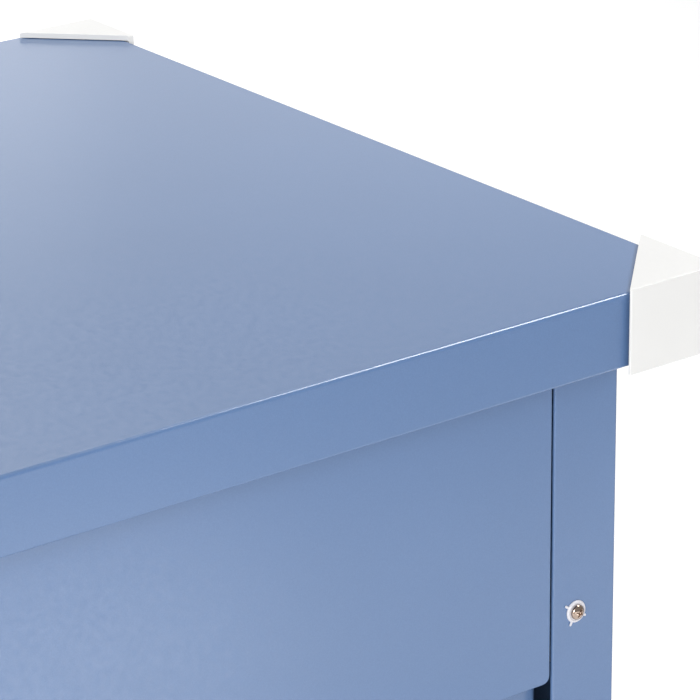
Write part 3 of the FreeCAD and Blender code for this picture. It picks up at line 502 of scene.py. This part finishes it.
# ------------------------------------------------------------------ casters: tyres, cores with ribs
for corner_name in ("front_left", "front_right", "rear_left", "rear_right"):
    tyre_node, core_node = "caster_tyre_" + corner_name, "caster_wheel_" + corner_name
    lo, hi = (Vector(q) * 1000 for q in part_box(tyre_node))
    c = (lo + hi) / 2
    at = Matrix.Translation(c) @ Matrix.Rotation(math.pi / 2, 4, "X")
    R1, w = 62.5, 16.0
    R0 = 50.0
    half_prof = [(R0 + 0.05, 0.0), (R0 + 0.05, w - 4.0), (R0 + 1.3, w - 0.75), (R0 + 2.6, w - 0.35), (R0 + 3.0, w - 0.75),
                 (R0 + 3.6, w - 0.75), (R0 + 4.0, w - 0.2), (R0 + 7.3, w - 0.02), (R0 + 9.2, w - 0.8), (R0 + 10.6, w - 2.3),
                 (R0 + 11.5, w - 4.4), (R1 - 0.42, w - 6.4), (R1 - 0.28, w - 7.1), (R1 - 0.85, w - 7.45),
                 (R1 - 0.85, w - 8.15), (R1 - 0.18, w - 8.5), (R1 - 0.05, w - 11.0), (R1 - 0.02, w - 15.5), (R1, w - 15.8)]
    prof = half_prof + [(r, -z) for r, z in reversed(half_prof[1:])]
    piece("tyre_" + corner_name, *moved(turned(prof, 144), at), tyre_node, sharp=50.0)

    half_core = [(5.1, 0.0), (5.1, 18.6), (5.5, 18.9), (12.9, 18.9), (13.5, 18.3), (13.6, 10.5), (14.6, 6.6), (16.2, 6.0),
                 (39.5, 6.0), (41.2, 6.5), (42.0, 8.0), (43.2, 13.4), (44.1, 14.4), (48.0, 14.5), (48.9, 14.0),
                 (49.95, 12.0), (49.95, 0.0)]
    prof = half_core + [(r, -z) for r, z in reversed(half_core[1:-1])]
    parts = [turned(prof, 120)]
    for side in (-1, 1):
        for k in range(9):
            line = [(13.2, -1.5), (43.0, -1.15), (43.0, 1.15), (13.2, 1.5)]
            rib = slab(line, 5.8, 11.6, 0.45)
            m = Matrix.Rotation(math.radians(40 * k + (0 if side > 0 else 20)), 4, "Z")
            if side < 0:
                m = Matrix.Scale(-1, 4, (0, 0, 1)) @ m
            parts.append(moved(rib, m))
    piece("core_" + corner_name, *moved(joined(*parts), at), core_node, sharp=40.0)


# ------------------------------------------------------------------ softened edges on the sheet metal and mouldings
def soften(node, width, segments=2, angle=32.0):
    m = NODES[node].modifiers.new("edge", "BEVEL")
    m.width = width * MM
    m.segments = segments
    m.limit_method = "ANGLE"
    m.angle_limit = math.radians(angle)
    m.use_clamp_overlap = True
    m.harden_normals = True
    m.miter_outer = "MITER_ARC"


for n in NODES:
    if n.startswith("drawer_front"):
        soften(n, 0.55, 3)
    elif n in ("side_panel_left", "side_panel_right"):
        soften(n, 0.5, 3)
    elif n == "handle_brackets":
        soften(n, 0.35)
    elif n in ("back_panel", "worktop"):
        soften(n, 0.25)
    elif n.startswith("brake_pedal") or n.startswith("caster_fork") or n == "caster_top_plates":
        soften(n, 0.6)
    elif n.startswith("caster_axle") or n in ("lock_barrel", "lock_plug", "caster_bolts"):
        soften(n, 0.3)


# ------------------------------------------------------------------ floor, light, camera
def flat(name, size, z):
    me = bpy.data.meshes.new(name)
    me.from_pydata([(-size, -size, z), (size, -size, z), (size, size, z), (-size, size, z)], [], [(0, 1, 2, 3)])
    o = bpy.data.objects.new(name, me)
    bpy.context.scene.collection.objects.link(o)
    return o


floor = flat("floor", 30.0, 0.0)
fm = Mat("floor_pale", (0.86, 0.86, 0.86, 1), 0.75, spec=0.2)
fm.color(fm.ramp(fm.noise(0.8, 2.0), [(0.3, (0.85, 0.85, 0.855, 1)), (0.7, (0.87, 0.87, 0.87, 1))]))
floor.data.materials.append(fm.m)

world = bpy.data.worlds.new("studio")
bpy.context.scene.world = world
world.use_nodes = True
world.node_tree.nodes["Background"].inputs["Color"].default_value = (1.0, 1.0, 1.0, 1)
world.node_tree.nodes["Background"].inputs["Strength"].default_value = 0.4


def area(name, loc, target, size, power, color=(1, 1, 1), size_y=None):
    d = bpy.data.lights.new(name, "AREA")
    d.energy = power
    d.color = color
    d.shape = "RECTANGLE"
    d.size = size
    d.size_y = size_y or size
    o = bpy.data.objects.new(name, d)
    bpy.context.scene.collection.objects.link(o)
    o.location = loc
    o.rotation_euler = (Vector(target) - Vector(loc)).to_track_quat("-Z", "Y").to_euler()
    o.visible_camera = False
    return o


LIGHTS = {
    "back_low": ((1.5, 3.6, 1.7), (0.1, 0.0, 1.0), 1.6, 1.3, 3.0),
    "back_wall": ((3.3, 4.7, 2.1), (0.0, 0.0, 1.0), 4.5, 1.6, 23.0),
    "back_wall_left": ((1.0, 5.2, 1.8), (0.0, 0.0, 1.0), 3.0, 1.6, 168.0),
    "camera_left": ((-1.9, -2.4, 1.9), (0.0, -0.1, 0.8), 1.6, 1.6, 87.0),
    "far_left": ((-2.6, -1.6, 1.0), (0.0, -0.1, 0.8), 1.2, 1.6, 12.0),
    "left": ((-2.4, 0.5, 1.5), (0.0, 0.0, 0.9), 1.4, 1.6, 35.0),
    "right_side": ((2.8, 0.2, 1.5), (0.3, 0.0, 0.7), 1.4, 1.6, 5.4),
    "front_low": ((0.2, -2.6, 0.5), (0.1, -0.28, 0.9), 2.0, 0.5, 8.0),
    "front_card": ((1.2, -1.5, 0.10), (0.8, -0.3, 0.5), 1.6, 0.2, 1.1),
    "front_card_left": ((0.6, -1.6, 0.12), (0.3, -0.3, 0.5), 0.8, 0.25, 1.4),
    "over_back": ((1.2, 2.2, 2.8), (1.6, 2.0, 0.0), 2.2, 2.2, 28.0),
    "right_top": ((1.25, -0.35, 2.3), (0.3, -0.28, 1.0), 0.5, 0.5, 20.0),
}
for name, (loc, target, size, size_y, power) in LIGHTS.items():
    area(name, loc, target, size, power, size_y=size_y)

cam_data = bpy.data.cameras.new("camera")
cam = bpy.data.objects.new("camera", cam_data)
bpy.context.scene.collection.objects.link(cam)
cam_data.sensor_width = 36.0
cam_data.lens = 175.478
cam_data.clip_end = 100.0
corner = Vector((0.37525, -0.2805, 1.0))
loc = corner + Vector((-1.07546196, -1.15574115, 0.57803349))
fwd = Vector((0.5541793101786548, 0.7475647000515699, -0.3661042357126134)).normalized()
right = Vector((0.8002247848007267, -0.5995602713982625, -0.012952789331764076))
right = (right - fwd * right.dot(fwd)).normalized()
up = right.cross(fwd)
cam.matrix_world = Matrix(((right.x, up.x, -fwd.x, loc.x), (right.y, up.y, -fwd.y, loc.y),
                           (right.z, up.z, -fwd.z, loc.z), (0, 0, 0, 1)))
bpy.context.scene.camera = cam
bpy.context.scene.view_settings.view_transform = "Standard"
bpy.context.scene.view_settings.look = "None"
